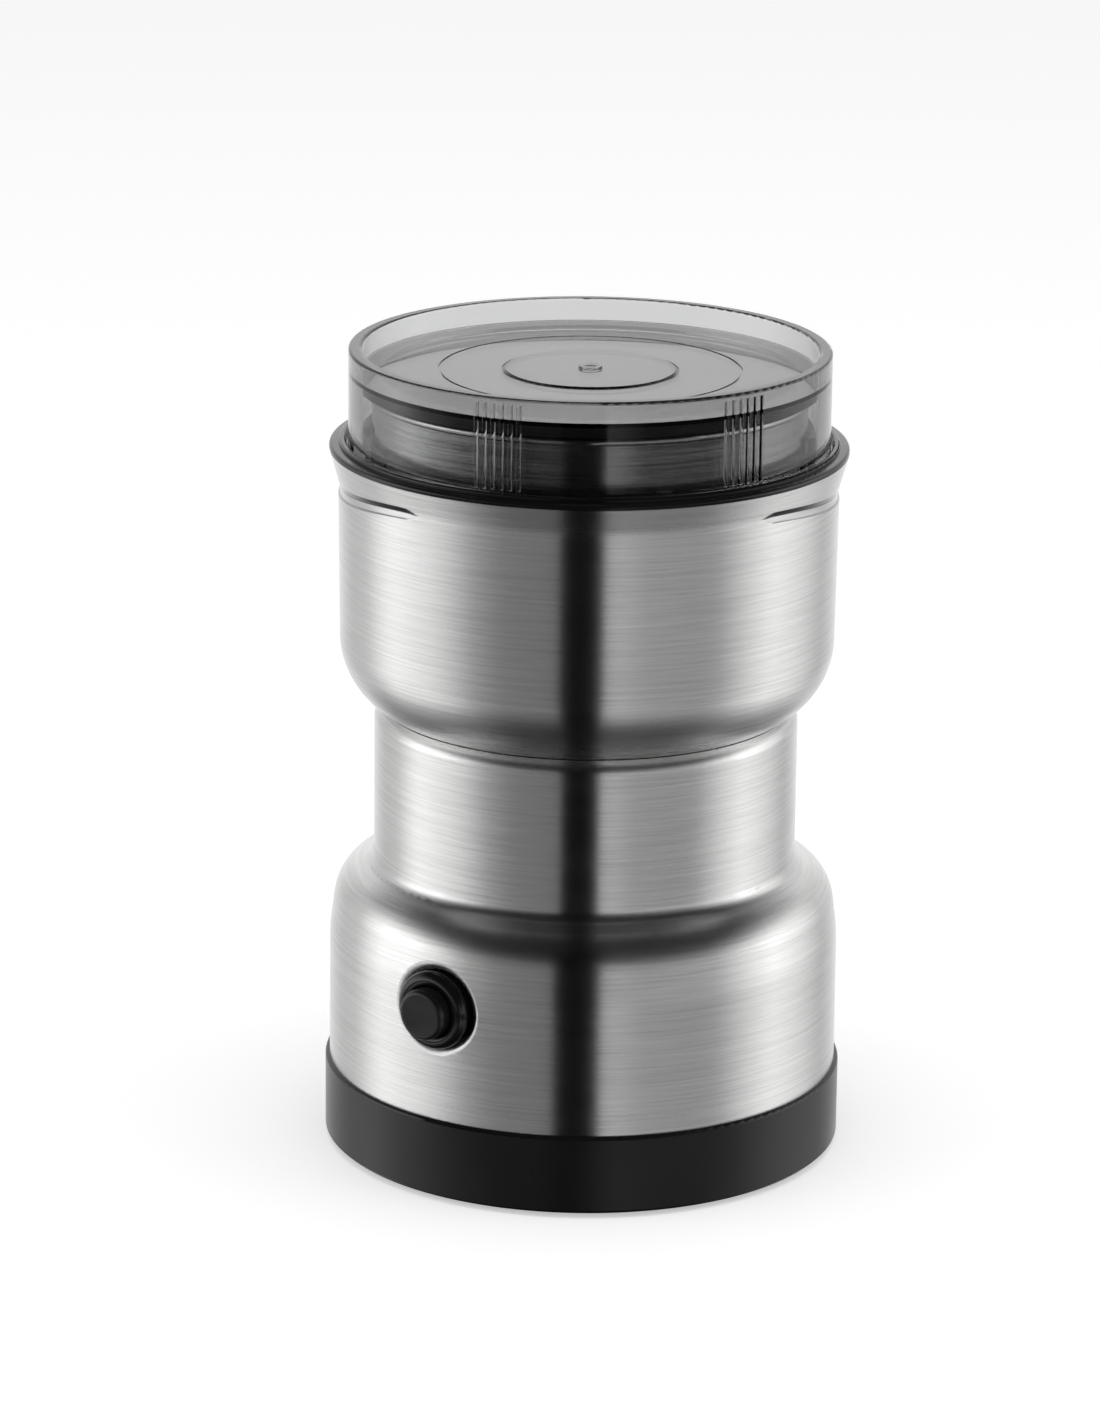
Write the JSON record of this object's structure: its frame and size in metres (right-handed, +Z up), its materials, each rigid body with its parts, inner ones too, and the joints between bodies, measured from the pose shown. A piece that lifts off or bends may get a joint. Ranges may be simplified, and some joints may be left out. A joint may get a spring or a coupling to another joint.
{
  "type": "electric spice grinder",
  "caption": "Upright electric spice grinder: brushed steel body with a waist, steel cup with a spinning blade, smoky clear lid that turns to lock, and a push button.",
  "frame": {"origin": "on the turning axis, at the plane the feet stand on", "axes": "+Z up along the motor shaft; the front, with the push button to its left, faces -Y; the cord leaves towards +Y"},
  "size_m": [0.112, 0.112, 0.175],
  "materials": {
    "brushed_steel": "brushed round the axis",
    "bright_steel": "polished",
    "black_plastic": "satin",
    "frame_plastic": "moulded",
    "smoke_plastic": "clear smoke",
    "rubber": "matt",
    "zinc_screw": "zinc plated",
    "laminated_steel": "varnished laminations",
    "copper_wire": "enamelled",
    "bronze": "oiled",
    "brass": "plain",
    "carbon": "carbon",
    "spring_steel": "drawn wire",
    "nylon": "natural",
    "terminal_plastic": "moulded",
    "capacitor_box": "moulded",
    "blade_steel": "ground"
  },
  "bodies": {
    "housing": {"base_cover": "black_plastic", "rubber_feet": "rubber", "base_screws": "zinc_screw", "cord_gland": "rubber", "cord_clamp": "frame_plastic", "clamp_screws": "zinc_screw", "terminal_block": "terminal_plastic", "suppressor_capacitor": "capacitor_box", "lower_housing": "brushed_steel", "upper_shell": "brushed_steel", "inner_frame": "frame_plastic", "collar_ring": "black_plastic", "collar_screws": "zinc_screw", "grinding_cup": "bright_steel", "cup_clamp_nut": "zinc_screw", "shaft_seal": "rubber", "switch_bezel": "black_plastic", "switch_body": "frame_plastic", "button_spring": "spring_steel", "interlock_spring": "spring_steel", "interlock_switch": "frame_plastic", "upper_bracket": "frame_plastic", "lower_bracket": "frame_plastic", "stator_core": "laminated_steel", "field_coils": "copper_wire", "brush_holders": "brass", "carbon_brushes": "carbon", "brush_springs": "spring_steel", "upper_bearing": "bronze", "lower_bearing": "bronze", "motor_screws": "zinc_screw", "motor_cushions": "rubber"},
    "rotor": {"motor_shaft": "bright_steel", "armature_core": "laminated_steel", "armature_winding": "copper_wire", "commutator": "copper_wire", "cooling_fan": "frame_plastic", "thrust_washers": "nylon", "blade_bush": "brass", "blade": "blade_steel", "blade_nut": "bright_steel"},
    "button": {"button_cap": "black_plastic"},
    "safety_pin": {"interlock_pin": "nylon"},
    "lid_carrier": {"lid_seal": "rubber"},
    "lid": {"lid": "smoke_plastic"}
  },
  "joints": [
    {"name": "blade_spin", "type": "hinge", "parent": "housing", "child": "rotor", "pos_m": [0, 0, 0.1], "axis": [0, 0, 1], "continuous": true},
    {"name": "button_press", "type": "slide", "parent": "housing", "child": "button", "axis": [0.5693, 0.8221, 0], "range_m": [0, 0.003], "stiffness_N_per_m": 400, "springref_m": -0.003, "deforming": ["button_spring"]},
    {"name": "lid_lift", "type": "slide", "parent": "housing", "child": "lid_carrier", "axis": [0, 0, 1], "range_m": [0, 0.06]},
    {"name": "lid_turn", "type": "hinge", "parent": "lid_carrier", "child": "lid", "pos_m": [0, 0, 0.16], "axis": [0, 0, -1], "range_deg": [0, 20]},
    {"name": "pin_press", "type": "slide", "parent": "housing", "child": "safety_pin", "axis": [0, 0, -1], "range_m": [0, 0.0023], "deforming": ["interlock_spring"]}
  ],
  "couplings": [
    {"joint": "pin_press", "follows": "lid_turn", "m_per_rad": 0.006588}
  ]
}
